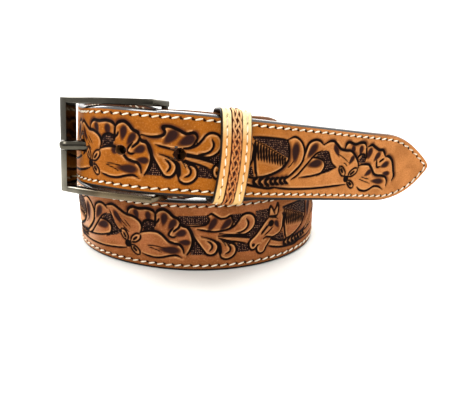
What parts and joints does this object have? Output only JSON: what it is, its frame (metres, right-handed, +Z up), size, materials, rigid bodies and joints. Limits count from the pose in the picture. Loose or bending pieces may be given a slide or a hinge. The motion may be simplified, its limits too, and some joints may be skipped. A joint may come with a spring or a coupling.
{
  "type": "tooled leather belt",
  "caption": "Tooled leather belt with stitched black edges, buckled and coiled in stacked turns standing on edge, with a dark metal frame buckle, prong and braided keeper.",
  "frame": {"origin": "centre of the overall bounding box at the level of the surface that the belt stands on", "axes": "+Z up; -Y is the front, where the buckle is; the tail's tip points towards +X"},
  "size_m": [0.2054, 0.1384, 0.087],
  "materials": {
    "tooled_leather": "honey-brown tooled leather with dark airbrushed cuts and glossy black painted edges",
    "keeper_leather": "pale tan leather with a laced braid",
    "buckle_metal": "polished dark gunmetal"
  },
  "bodies": {
    "root": {"strap": "tooled_leather", "keeper": "keeper_leather", "buckle_frame": "buckle_metal", "prong": "buckle_metal"}
  },
  "joints": []
}
